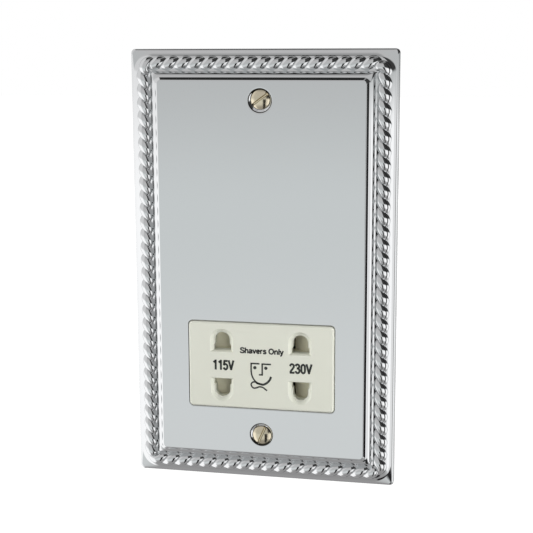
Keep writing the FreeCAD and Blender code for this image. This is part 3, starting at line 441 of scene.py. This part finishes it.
def makeRope():
    # section: t = width * R * sin(angle), wider on the outer side, and h = (rise + channel) * R * cos(angle)
    # - channel, where R falls by groove * (1 - |cos(pi * strand)| ^ fullness) from the crown of a strand to
    # the crease beside it; the rows of points follow the strands, which move along the path with the angle,
    # so that they wind round
    angle = np.linspace(-math.pi / 2, math.pi / 2, rope["stepsAcross"])[:, None]
    strand = np.arange(rope["strands"] * rope["stepsPerStrand"]) / rope["stepsPerStrand"]
    x, z, inX, inZ = ropePath((strand + rope["twist"] * angle / math.pi) / rope["strands"])
    radius = 1 - rope["groove"] * (1 - abs(np.cos(math.pi * strand)) ** rope["fullness"])
    t = np.where(angle < 0, rope["outerWidth"], rope["innerWidth"]) * radius * np.sin(angle)
    h = (rope["rise"] + rope["channel"]) * radius * np.cos(angle) - rope["channel"]
    t = np.concatenate([t[:1], t, t[-1:]])
    buried = np.full_like(h[:1], -rope["channel"] - rope["root"])
    h = np.concatenate([buried, h, buried])
    x, z, inX, inZ = (np.concatenate([v[:1], v, v[-1:]]) for v in (x, z, inX, inZ))
    tilt = plate["slope"]
    inward = t * math.cos(tilt) - h * math.sin(tilt)
    height = slopeHeight(rope["inset"]) + t * math.sin(tilt) + h * math.cos(tilt)
    points = np.stack([x + inX * inward, -height, z + inZ * inward], -1)
    rings, around = points.shape[:2]
    ring, step = np.meshgrid(np.arange(rings), np.arange(around), indexing="ij")
    nextRing, nextStep = (ring + 1) % rings, (step + 1) % around
    quads = np.stack([ring * around + step, ring * around + nextStep, nextRing * around + nextStep,
                      nextRing * around + step], -1).reshape(-1, 4).tolist()
    makePiece("ropeBorder", [(points.reshape(-1, 3), quads)], chrome, ["front_plate"],
              sharpAngle=rope["sharpAngle"])


makePlate()
makeRope()
print("plate and rope made")


# Fixing screws: raised slotted heads and a rolled thread

screw = {
    "headRadius": 3.4, "rimY": -5.75, "crown": 1.05, "slotHalf": 0.45, "slotDepth": 1.2, "slotHollow": 0.8,
    "slotSteps": 9, "acrossSteps": 22, "alongSteps": 48, "neckRadius": 1.45, "neckLength": 1.2,
    "threadRadius": 1.75, "threadRoot": 1.44, "threadFullness": 1.15, "pitch": 0.6, "length": 25.0,
    "turnSteps": 28, "pitchSteps": 8, "sharpAngle": 40,
    "slotTurns": {1: 36.0, -1: 66.0}}            # upper and lower screw, in degrees


def screwHead(turn):
    # dome: part of a ball that stands crown high over the rim, on lines across the slot at a and along it at
    # b * sqrt(r^2 - a^2); between the slot's sides it dips to a hollow floor
    s = screw
    r = s["headRadius"]
    outside = r * np.sin(np.linspace(math.asin(s["slotHalf"] / r), math.pi / 2, s["acrossSteps"]))
    inside = np.linspace(-s["slotHalf"], s["slotHalf"], s["slotSteps"])
    a = np.concatenate([-outside[::-1], inside, outside])
    inSlot = np.concatenate([0 * outside, 1 + 0 * inside, 0 * outside])[:, None]
    b = np.sin(np.linspace(-math.pi / 2, math.pi / 2, s["alongSteps"]))
    across = np.repeat(a[:, None], len(b), 1)
    along = np.sqrt(np.clip(r ** 2 - across ** 2, 0, None)) * b
    ball = (r ** 2 + s["crown"] ** 2) / (2 * s["crown"])
    dome = np.sqrt(ball ** 2 - across ** 2 - along ** 2) - ball + s["crown"]
    sag = np.sqrt(np.clip(s["slotHalf"] ** 2 - across ** 2, 0, None)) * s["slotHollow"]
    hollow = s["crown"] - s["slotDepth"] - sag
    height = np.where(inSlot > 0, np.minimum(dome, hollow), dome)
    c, d = math.cos(math.radians(turn)), math.sin(math.radians(turn))
    x = along * c - across * d
    z = along * d + across * c
    points = np.stack([x, s["rimY"] - height, z], -1)
    return points.reshape(-1, 3), sheetQuads(*across.shape)


def screwShank():
    # turned profile under the head, then a thread: within each pitch the radius falls from crest to root, by
    # clip(fullness * (1 - 2 * |phase - 0.5|)), and it fades out over the first and the last pitch
    s = screw
    neckY = s["rimY"] + s["headRadius"] - s["neckRadius"]
    threadY = neckY + s["neckLength"]
    tipY = s["rimY"] + s["length"]
    rows = int((tipY - threadY) / s["pitch"] * s["pitchSteps"])
    y = np.linspace(threadY, tipY, rows)[:, None]
    angle = np.linspace(0, 2 * math.pi, s["turnSteps"], endpoint=False)
    phase = (y / s["pitch"] - angle / (2 * math.pi)) % 1.0
    fade = np.clip(np.minimum(y - threadY, tipY - y) / s["pitch"], 0, 1)
    crest = np.clip(s["threadFullness"] * (1 - 2 * abs(phase - 0.5)), 0, 1)
    r = s["threadRoot"] + (s["threadRadius"] - s["threadRoot"]) * fade * crest
    thread = np.stack([r * np.cos(angle), y + 0 * angle, r * np.sin(angle)], -1)
    head = [(s["headRadius"], s["rimY"]), (s["neckRadius"], neckY), (s["neckRadius"], threadY)]
    loop = circleLoop(1.0, s["turnSteps"])
    rings = [lift(loop * radius, depth) for radius, depth in head] + list(thread)
    points, quads = stackRings(rings)
    last = np.arange(len(points) - s["turnSteps"], len(points))
    fan = np.stack([last, np.roll(last, -1), np.full_like(last, len(points))], 1).tolist()
    return np.concatenate([points, [(0, tipY, 0)]]), quads + fan


def makeScrews():
    parts = []
    for side, turn in screw["slotTurns"].items():
        for points, faces in (screwHead(turn), screwShank()):
            parts.append((points + np.array([0, 0, side * plate["screwZ"]]), faces))
    makePiece("fixingScrews", parts, nickel, ["fixing_screws"], sharpAngle=screw["sharpAngle"])


makeScrews()
print("screws made")


# Mouldings and pressings carried over from the frame, with their edges broken: the node, then its piece,
# material and slot and the width of the round in millimetres

softEdges = {
    "socket_insert": ("socketInsert", urea, "white_moulding", 0.16),
    "shutter_slide": ("shutterSlide", shutterNylon, "shutter_moulding", 0.12),
    "rear_housing": ("rearHousing", polycarbonate, "housing_moulding", 0.35),
    "terminal_earth": ("terminalEarth", brass, "terminal_brass", 0.2),
    "terminal_live": ("terminalLive", brass, "terminal_brass", 0.2),
    "terminal_neutral": ("terminalNeutral", brass, "terminal_brass", 0.2),
    "terminal_screws": ("terminalScrews", zinc, "terminal_screw", 0.12),
    "earth_strap": ("earthStrap", brass, "terminal_brass", 0.1),
    "plate_lugs": ("plateLugs", brass, "terminal_brass", 0.12)}
softRules = {"weld": 2e-6, "flatAngle": math.radians(0.5), "sharpAngle": math.radians(30), "segments": 3}


def softCopy(nodeName, pieceName, material, width):
    # the node's own solid, welded, its flats made whole, with a narrow round on every sharp edge
    mesh = nodes[nodeName].data.copy()
    mesh.name = pieceName
    work = bmesh.new()
    work.from_mesh(mesh)
    bmesh.ops.remove_doubles(work, verts=work.verts, dist=softRules["weld"])
    bmesh.ops.dissolve_limit(work, angle_limit=softRules["flatAngle"], verts=work.verts, edges=work.edges,
                             delimit=set())
    work.to_mesh(mesh)
    work.free()
    mesh.polygons.foreach_set("use_smooth", np.ones(len(mesh.polygons), bool))
    mesh.set_sharp_from_angle(angle=softRules["sharpAngle"])
    body = "shutter" if nodeName == "shutter_slide" else "root"
    piece = showPiece(pieceName, mesh, material, [nodeName], body)
    bevel = piece.modifiers.new("brokenEdges", "BEVEL")
    bevel.width = width * mm
    bevel.segments = softRules["segments"]
    bevel.limit_method = "ANGLE"
    bevel.angle_limit = softRules["sharpAngle"]
    bevel.use_clamp_overlap = True
    bevel.harden_normals = True


for nodeName, (pieceName, material, slot, width) in softEdges.items():
    softCopy(nodeName, pieceName, material, width)

# Inner pieces keep their solids and take their finish
innerFinish = {
    bronze: ["shutter_spring_left", "shutter_spring_right", "bridge_contact", "contact_115v_upper",
             "contact_115v_lower", "contact_230v_upper", "contact_230v_lower", "switch_rail_supply",
             "switch_rail_load"],
    brass: ["common_bar"], phenolic: ["contact_carrier", "thermal_cutout"], fibre: ["insulation_sheet"],
    steel: ["core_e_stack", "core_i_stack"], zinc: ["core_strap"], nylon: ["bobbin"],
    copper: ["primary_winding", "secondary_winding"], tape: ["primary_tape", "secondary_tape"],
    wires["brown"]: ["lead_live", "lead_switched"], wires["blue"]: ["lead_neutral"],
    wires["white"]: ["lead_common"], wires["red"]: ["lead_115v", "lead_230v"]}
for material, names in innerFinish.items():
    for name in names:
        nodes[name].data.materials.clear()
        nodes[name].data.materials.append(material)
print("mouldings and inner pieces finished")


# Printed marks on the insert: the two voltages, the use, and the usual shaver sign

arch = [(0.09, 0.42), (0.17, 0.6), (0.28, 0.65), (0.39, 0.58), (0.42, 0.43), (0.42, 0.0)]   # of h and n
marks = {
    "faceY": -7.1, "film": 0.02, "centreX": 0.3, "centreZ": -34.4, "curveSteps": 8,
    # text, middle x, middle z, height of a capital, width of a figure's box, stroke
    "texts": [("115V", -14.0, 0.05, 3.7, 3.45, 0.76), ("230V", 14.3, 0.05, 3.7, 3.55, 0.76),
              ("Shavers Only", 0.1, 5.85, 2.1, 2.8, 0.52)],
    # each figure's width, then its strokes in a box one high; a True stroke is a smooth curve through its
    # points
    "figures": {
        " ": (0.27, []),
        "1": (0.56, [(False, [(0.32, 0.0), (0.32, 1.0)]), (False, [(0.34, 0.93), (0.08, 0.72)])]),
        "5": (0.56, [(False, [(0.49, 0.91), (0.12, 0.91)]), (False, [(0.15, 0.99), (0.08, 0.46)]),
                     (True, [(0.08, 0.52), (0.25, 0.6), (0.42, 0.5), (0.45, 0.3), (0.36, 0.11), (0.2, 0.08),
                             (0.03, 0.24)])]),
        "2": (0.56, [(True, [(0.06, 0.7), (0.12, 0.87), (0.26, 0.92), (0.41, 0.83), (0.42, 0.66), (0.3, 0.46),
                             (0.14, 0.24), (0.07, 0.08)]), (False, [(0.01, 0.08), (0.5, 0.08)])]),
        "3": (0.56, [(True, [(0.05, 0.75), (0.13, 0.88), (0.26, 0.92), (0.4, 0.83), (0.4, 0.66), (0.3, 0.55),
                             (0.17, 0.53)]),
                     (True, [(0.17, 0.53), (0.34, 0.5), (0.44, 0.36), (0.42, 0.18), (0.29, 0.08), (0.14, 0.1),
                             (0.03, 0.26)])]),
        "0": (0.56, [(True, [(0.26, 0.92), (0.41, 0.8), (0.44, 0.5), (0.41, 0.2), (0.26, 0.08), (0.11, 0.2),
                             (0.08, 0.5), (0.11, 0.8), (0.26, 0.92), (0.33, 0.89)])]),
        "V": (0.6, [(False, [(0.03, 1.0), (0.31, 0.03)]), (False, [(0.27, 0.03), (0.55, 1.0)])]),
        "S": (0.62, [(True, [(0.54, 0.74), (0.46, 0.88), (0.32, 0.92), (0.16, 0.87), (0.11, 0.72), (0.2, 0.58),
                             (0.38, 0.48), (0.52, 0.36), (0.52, 0.18), (0.4, 0.09), (0.25, 0.08), (0.12, 0.13),
                             (0.06, 0.29)])]),
        "h": (0.53, [(False, [(0.09, 0.0), (0.09, 1.0)]), (True, arch)]),
        "a": (0.52, [(True, [(0.07, 0.52), (0.14, 0.62), (0.25, 0.65), (0.37, 0.6), (0.4, 0.48), (0.4, 0.2),
                             (0.45, 0.03)]),
                     (True, [(0.4, 0.4), (0.22, 0.36), (0.1, 0.28), (0.08, 0.15), (0.16, 0.08), (0.28, 0.09),
                             (0.4, 0.2)])]),
        "v": (0.46, [(False, [(0.03, 0.72), (0.23, 0.02)]), (False, [(0.21, 0.02), (0.41, 0.72)])]),
        "e": (0.5, [(False, [(0.08, 0.37), (0.42, 0.37)]),
                    (True, [(0.42, 0.35), (0.39, 0.54), (0.25, 0.65), (0.11, 0.54), (0.07, 0.35), (0.13, 0.15),
                            (0.26, 0.08), (0.42, 0.18)])]),
        "r": (0.36, [(False, [(0.09, 0.0), (0.09, 0.72)]),
                     (True, [(0.09, 0.42), (0.15, 0.58), (0.24, 0.64), (0.32, 0.64)])]),
        "s": (0.48, [(True, [(0.4, 0.51), (0.33, 0.62), (0.22, 0.65), (0.11, 0.59), (0.1, 0.48), (0.2, 0.4),
                             (0.34, 0.33), (0.4, 0.21), (0.33, 0.1), (0.22, 0.08), (0.11, 0.1),
                             (0.05, 0.21)])]),
        "O": (0.73, [(True, [(0.35, 0.92), (0.55, 0.81), (0.63, 0.5), (0.55, 0.19), (0.35, 0.08), (0.15, 0.19),
                             (0.07, 0.5), (0.15, 0.81), (0.35, 0.92), (0.45, 0.89)])]),
        "n": (0.53, [(False, [(0.09, 0.0), (0.09, 0.72)]), (True, arch)]),
        "l": (0.22, [(False, [(0.1, 0.0), (0.1, 1.0)])]),
        "y": (0.46, [(False, [(0.03, 0.72), (0.23, 0.02)]),
                     (True, [(0.42, 0.72), (0.24, 0.08), (0.17, -0.14), (0.02, -0.2)])])},
    # the sign in millimetres from the insert's centre, as (smooth, stroke, points): brows, cheek, chin, nose
    # and a shaver's cord
    "sign": [(False, 0.58, [(-0.7, 1.15), (-3.95, 1.15)]),
             (True, 0.58, [(-3.75, 1.35), (-3.75, -1.7), (-3.45, -3.4), (-2.65, -4.95), (-1.55, -5.9),
                           (-0.45, -6.35)]),
             (True, 0.8, [(-1.9, -5.95), (-0.45, -6.35), (0.65, -6.48), (1.7, -6.0), (2.6, -5.2), (3.15, -4.4),
                          (3.5, -3.4)]),
             (False, 0.58, [(3.5, 1.1), (0.05, 1.1)]), (False, 0.58, [(0.28, 1.3), (0.28, -3.1)]),
             (False, 0.58, [(0.5, -2.9), (-0.95, -2.9)]),
             (True, 0.56, [(-1.6, -5.9), (-2.9, -5.65), (-3.7, -6.3), (-3.65, -7.2), (-2.9, -7.9), (-1.9, -7.8),
                           (-0.7, -7.35), (0.5, -7.55), (1.4, -8.2), (2.05, -8.65)])],
    "eyes": [(-2.4, -0.36), (1.62, -0.37)], "eyeRadius": 0.62, "eyeSteps": 24}


def smoothLine(points, steps):
    # Catmull-Rom curve: each span is a cubic through its ends, leaning on the points before and after
    p = np.array(points, float)
    p = np.concatenate([[2 * p[0] - p[1]], p, [2 * p[-1] - p[-2]]])
    u = np.linspace(0, 1, steps, endpoint=False)[:, None, None]
    a, b, c, d = p[:-3], p[1:-2], p[2:-1], p[3:]
    square, cube = 2 * a - 5 * b + 4 * c - d, 3 * b - a - 3 * c + d
    spans = 0.5 * (2 * b + (c - a) * u + square * u ** 2 + cube * u ** 3)
    return np.concatenate([spans.transpose(1, 0, 2).reshape(-1, 2), p[-2:-1]])


def inkLevel(loop, side):
    # (x, z) loop about the insert's centre, on the top (1) or the underside (-1) of the film of ink
    return lift(loop, marks["faceY"] - side * marks["film"] / 2, marks["centreX"], marks["centreZ"])


def stroke(line, width):
    # ribbon of ink along a line: half the width to each side of it, one film thick
    line = np.array(line, float)
    run = np.gradient(line, axis=0)
    run /= np.linalg.norm(run, axis=1)[:, None]
    out = np.stack([-run[:, 1], run[:, 0]], 1) * width / 2
    edges = [inkLevel(line + out, 1), inkLevel(line - out, 1),
             inkLevel(line - out, -1), inkLevel(line + out, -1)]
    points = np.stack(edges, 1).reshape(-1, 3)
    last = len(points) - 4
    return points, ringQuads(len(line), 4) + [(0, 1, 2, 3), (last, last + 1, last + 2, last + 3)]


def drawLine(smooth, points):
    return smoothLine(points, marks["curveSteps"]) if smooth else points


def makeTexts():
    parts = []
    for text, x, z, height, box, width in marks["texts"]:
        advance = np.array([marks["figures"][figure][0] for figure in text])
        lefts = np.cumsum(advance) - advance - advance.sum() / 2
        for figure, left in zip(text, lefts):
            for smooth, points in marks["figures"][figure][1]:
                line = np.array(drawLine(smooth, points)) + np.array([left, -0.5])
                parts.append(stroke(np.array([x, z]) + line * np.array([box, height]), width))
    makePiece("printedTexts", parts, ink)


def makeSign():
    parts = [stroke(drawLine(smooth, points), width) for smooth, width, points in marks["sign"]]
    steps = marks["eyeSteps"]
    for eye in marks["eyes"]:
        disc = circleLoop(marks["eyeRadius"], steps) + np.array(eye)
        points, faces = stackRings([inkLevel(disc, 1), inkLevel(disc, -1)])
        parts.append((points, faces + [range(steps), range(steps, 2 * steps)]))
    makePiece("printedSign", parts, ink)


makeTexts()
makeSign()
print("marks printed")


# Stage: pale floor, soft lamps, a bright surround with dark gaps for the chrome, and the camera

stage = {
    "floorSize": 6.0, "floorDrop": 0.0002, "floorColour": "#f4f4f2",
    "floorGlow": 1.35, "floorShare": 0.7, "backdrop": 1.0,
    "lamps": [("leftLamp", (-0.78, -0.2, 0.05), 0.35, 4.0), ("rightLamp", (0.79, -0.2, 0.0), 0.35, 7.0),
              ("topLamp", (-0.2, -0.35, 0.8), 0.5, 0.8), ("backLamp", (0.25, 0.8, 0.35), 0.5, 5.0)]}
surround = {
    # elevation in degrees, brightness there as the flat panel and the slopes show it, and its share of red
    "heights": [(-90, 0.4, 1.01), (-55, 0.47, 1.01), (-30, 0.94, 0.97), (-17, 0.98, 0.965), (-8, 0.915, 0.955),
                (0, 0.735, 0.975), (44, 0.73, 1.01), (58, 0.5, 1.0), (72, 0.36, 1.0), (78, 0.04, 1.0),
                (90, 0.02, 1.0)],
    # bright and dark cards: azimuth, half width, elevation, half height, softness, level
    "cards": [(-88, 36, 20, 60, 7, 0.95), (-88, 36, -31, 30, 7, 1.5), (-150, 24, -10, 40, 5, 0.05),
              (22, 11, -36, 34, 2, 0.03), (39, 7, -20, 19, 2, 1.15), (59.5, 13.5, -20, 19, 2, 1.5),
              (112, 27, -22, 21, 2, 1.45), (87, 54, 33, 29, 4, 0.06), (80, 8, 5, 65, 2, 0.02),
              (160, 20, -15, 45, 2, 0.03), (-80, 60, 78, 12, 3, 0.03)]}


def makeWorld():
    world = bpy.data.worlds.new("surround")
    bpy.context.scene.world = world
    world.use_nodes = True
    tree = world.node_tree
    tree.nodes.clear()
    way = addNode(tree, "ShaderNodeTexCoord").outputs["Generated"]
    axes = addNode(tree, "ShaderNodeSeparateXYZ", {"Vector": way}).outputs
    front = addNode(tree, "ShaderNodeMath", {0: axes["Y"], 1: -1.0}, operation="MULTIPLY").outputs[0]
    turn = addNode(tree, "ShaderNodeMath", {0: axes["X"], 1: front}, operation="ARCTAN2").outputs[0]
    azimuth = addNode(tree, "ShaderNodeMath", {0: turn}, operation="DEGREES").outputs[0]
    tilt = addNode(tree, "ShaderNodeMath", {0: axes["Z"]}, operation="ARCSINE").outputs[0]
    elevation = addNode(tree, "ShaderNodeMath", {0: tilt}, operation="DEGREES").outputs[0]
    share = addNode(tree, "ShaderNodeMapRange",
                    {"Value": elevation, "From Min": -90.0, "From Max": 90.0}).outputs[0]
    ramp = addNode(tree, "ShaderNodeValToRGB", {"Fac": share})
    ramp.color_ramp.interpolation = "EASE"
    stops = ramp.color_ramp.elements
    for k, (degrees, level, red) in enumerate(surround["heights"]):
        place = (degrees + 90) / 180
        stop = stops[k] if k < 2 else stops.new(place)
        stop.position = place
        stop.color = (level * red, level, level, 1.0)
    level = ramp.outputs[0]
    for centre, half, middle, reach, soft, value in surround["cards"]:
        masks = []
        for angle, middleAngle, size in ((azimuth, centre, half), (elevation, middle, reach)):
            gap = addNode(tree, "ShaderNodeMath", {0: angle, 1: float(middleAngle)},
                          operation="SUBTRACT").outputs[0]
            away = addNode(tree, "ShaderNodeMath", {0: gap}, operation="ABSOLUTE").outputs[0]
            low, high = float(size - soft), float(size + soft)
            masks.append(addNode(tree, "ShaderNodeMapRange", {"Value": away, "From Min": high, "From Max": low},
                                 interpolation_type="SMOOTHSTEP").outputs[0])
        mask = addNode(tree, "ShaderNodeMath", {0: masks[0], 1: masks[1]}, operation="MULTIPLY").outputs[0]
        level = addNode(tree, "ShaderNodeMix", {"Factor": mask, "A": level, "B": (value, value, value, 1.0)},
                        data_type="RGBA").outputs["Result"]
    rays = addNode(tree, "ShaderNodeLightPath").outputs
    backdrop = (stage["backdrop"],) * 3 + (1.0,)
    seen = addNode(tree, "ShaderNodeMix", {"Factor": rays["Is Camera Ray"], "A": level, "B": backdrop},
                   data_type="RGBA").outputs["Result"]
    shade = addNode(tree, "ShaderNodeBackground", {"Color": seen, "Strength": 1.0})
    addNode(tree, "ShaderNodeOutputWorld", {"Surface": shade.outputs[0]})


def makeFloor():
    half = stage["floorSize"] / 2
    z = cadBox[0].z - stage["floorDrop"]
    mesh = bpy.data.meshes.new("floor")
    corners = [(-half, -half, z), (half, -half, z), (half, half, z), (-half, half, z)]
    mesh.from_pydata(corners, [], [(0, 1, 2, 3)])
    material = bpy.data.materials.new("paleFloor")
    material.use_nodes = True
    tree = material.node_tree
    tree.nodes.clear()
    lit = addNode(tree, "ShaderNodeBsdfDiffuse", {"Color": toLinear(stage["floorColour"])})
    plain = addNode(tree, "ShaderNodeEmission", {
        "Color": (1.0, 1.0, 1.0, 1.0), "Strength": stage["floorGlow"]})
    rays = addNode(tree, "ShaderNodeLightPath").outputs
    share = addNode(tree, "ShaderNodeMath", {0: rays["Is Camera Ray"], 1: stage["floorShare"]},
                    operation="MULTIPLY").outputs[0]
    mix = addNode(tree, "ShaderNodeMixShader", {0: share, 1: lit.outputs[0], 2: plain.outputs[0]})
    addNode(tree, "ShaderNodeOutputMaterial", {"Surface": mix.outputs[0]})
    mesh.materials.append(material)
    floor = bpy.data.objects.new("floor", mesh)
    bpy.context.scene.collection.objects.link(floor)
    floor.visible_glossy = False


def makeLamp(name, place, size, power):
    lamp = bpy.data.lights.new(name, "AREA")
    lamp.size = size
    lamp.energy = power
    holder = bpy.data.objects.new(name, lamp)
    bpy.context.scene.collection.objects.link(holder)
    holder.location = place
    holder.rotation_euler = (-Vector(place)).to_track_quat("-Z", "Y").to_euler()
    holder.visible_glossy = False


# angles in degrees, distance and aim in millimetres
view = {"azimuth": 12.08, "elevation": 10.43, "roll": -0.25, "distance": 439.0, "focalPixels": 1227.8,
        "imagePixels": 533.0, "sensor": 36.0, "clipStart": 0.01, "aimRight": 0.78, "aimUp": 0.79}


def makeCamera():
    a, e = math.radians(view["azimuth"]), math.radians(view["elevation"])
    back = Vector((math.sin(a) * math.cos(e), -math.cos(a) * math.cos(e), math.sin(e)))
    turn = (-back).to_track_quat("-Z", "Y").to_matrix()
    turn = turn @ Matrix.Rotation(math.radians(view["roll"]), 3, "Z")
    aim = (turn.col[0] * view["aimRight"] + turn.col[1] * view["aimUp"]) * mm
    lens = bpy.data.cameras.new("camera")
    lens.sensor_width = view["sensor"]
    lens.lens = view["focalPixels"] / view["imagePixels"] * view["sensor"]
    lens.clip_start = view["clipStart"]
    camera = bpy.data.objects.new("camera", lens)
    bpy.context.scene.collection.objects.link(camera)
    camera.matrix_world = Matrix.Translation(aim + back * view["distance"] * mm) @ turn.to_4x4()
    bpy.context.scene.camera = camera


makeWorld()
makeFloor()
for lamp in stage["lamps"]:
    makeLamp(*lamp)
makeCamera()
bpy.context.scene.view_settings.view_transform = "Standard"
print("stage set")

bpy.context.view_layer.update()
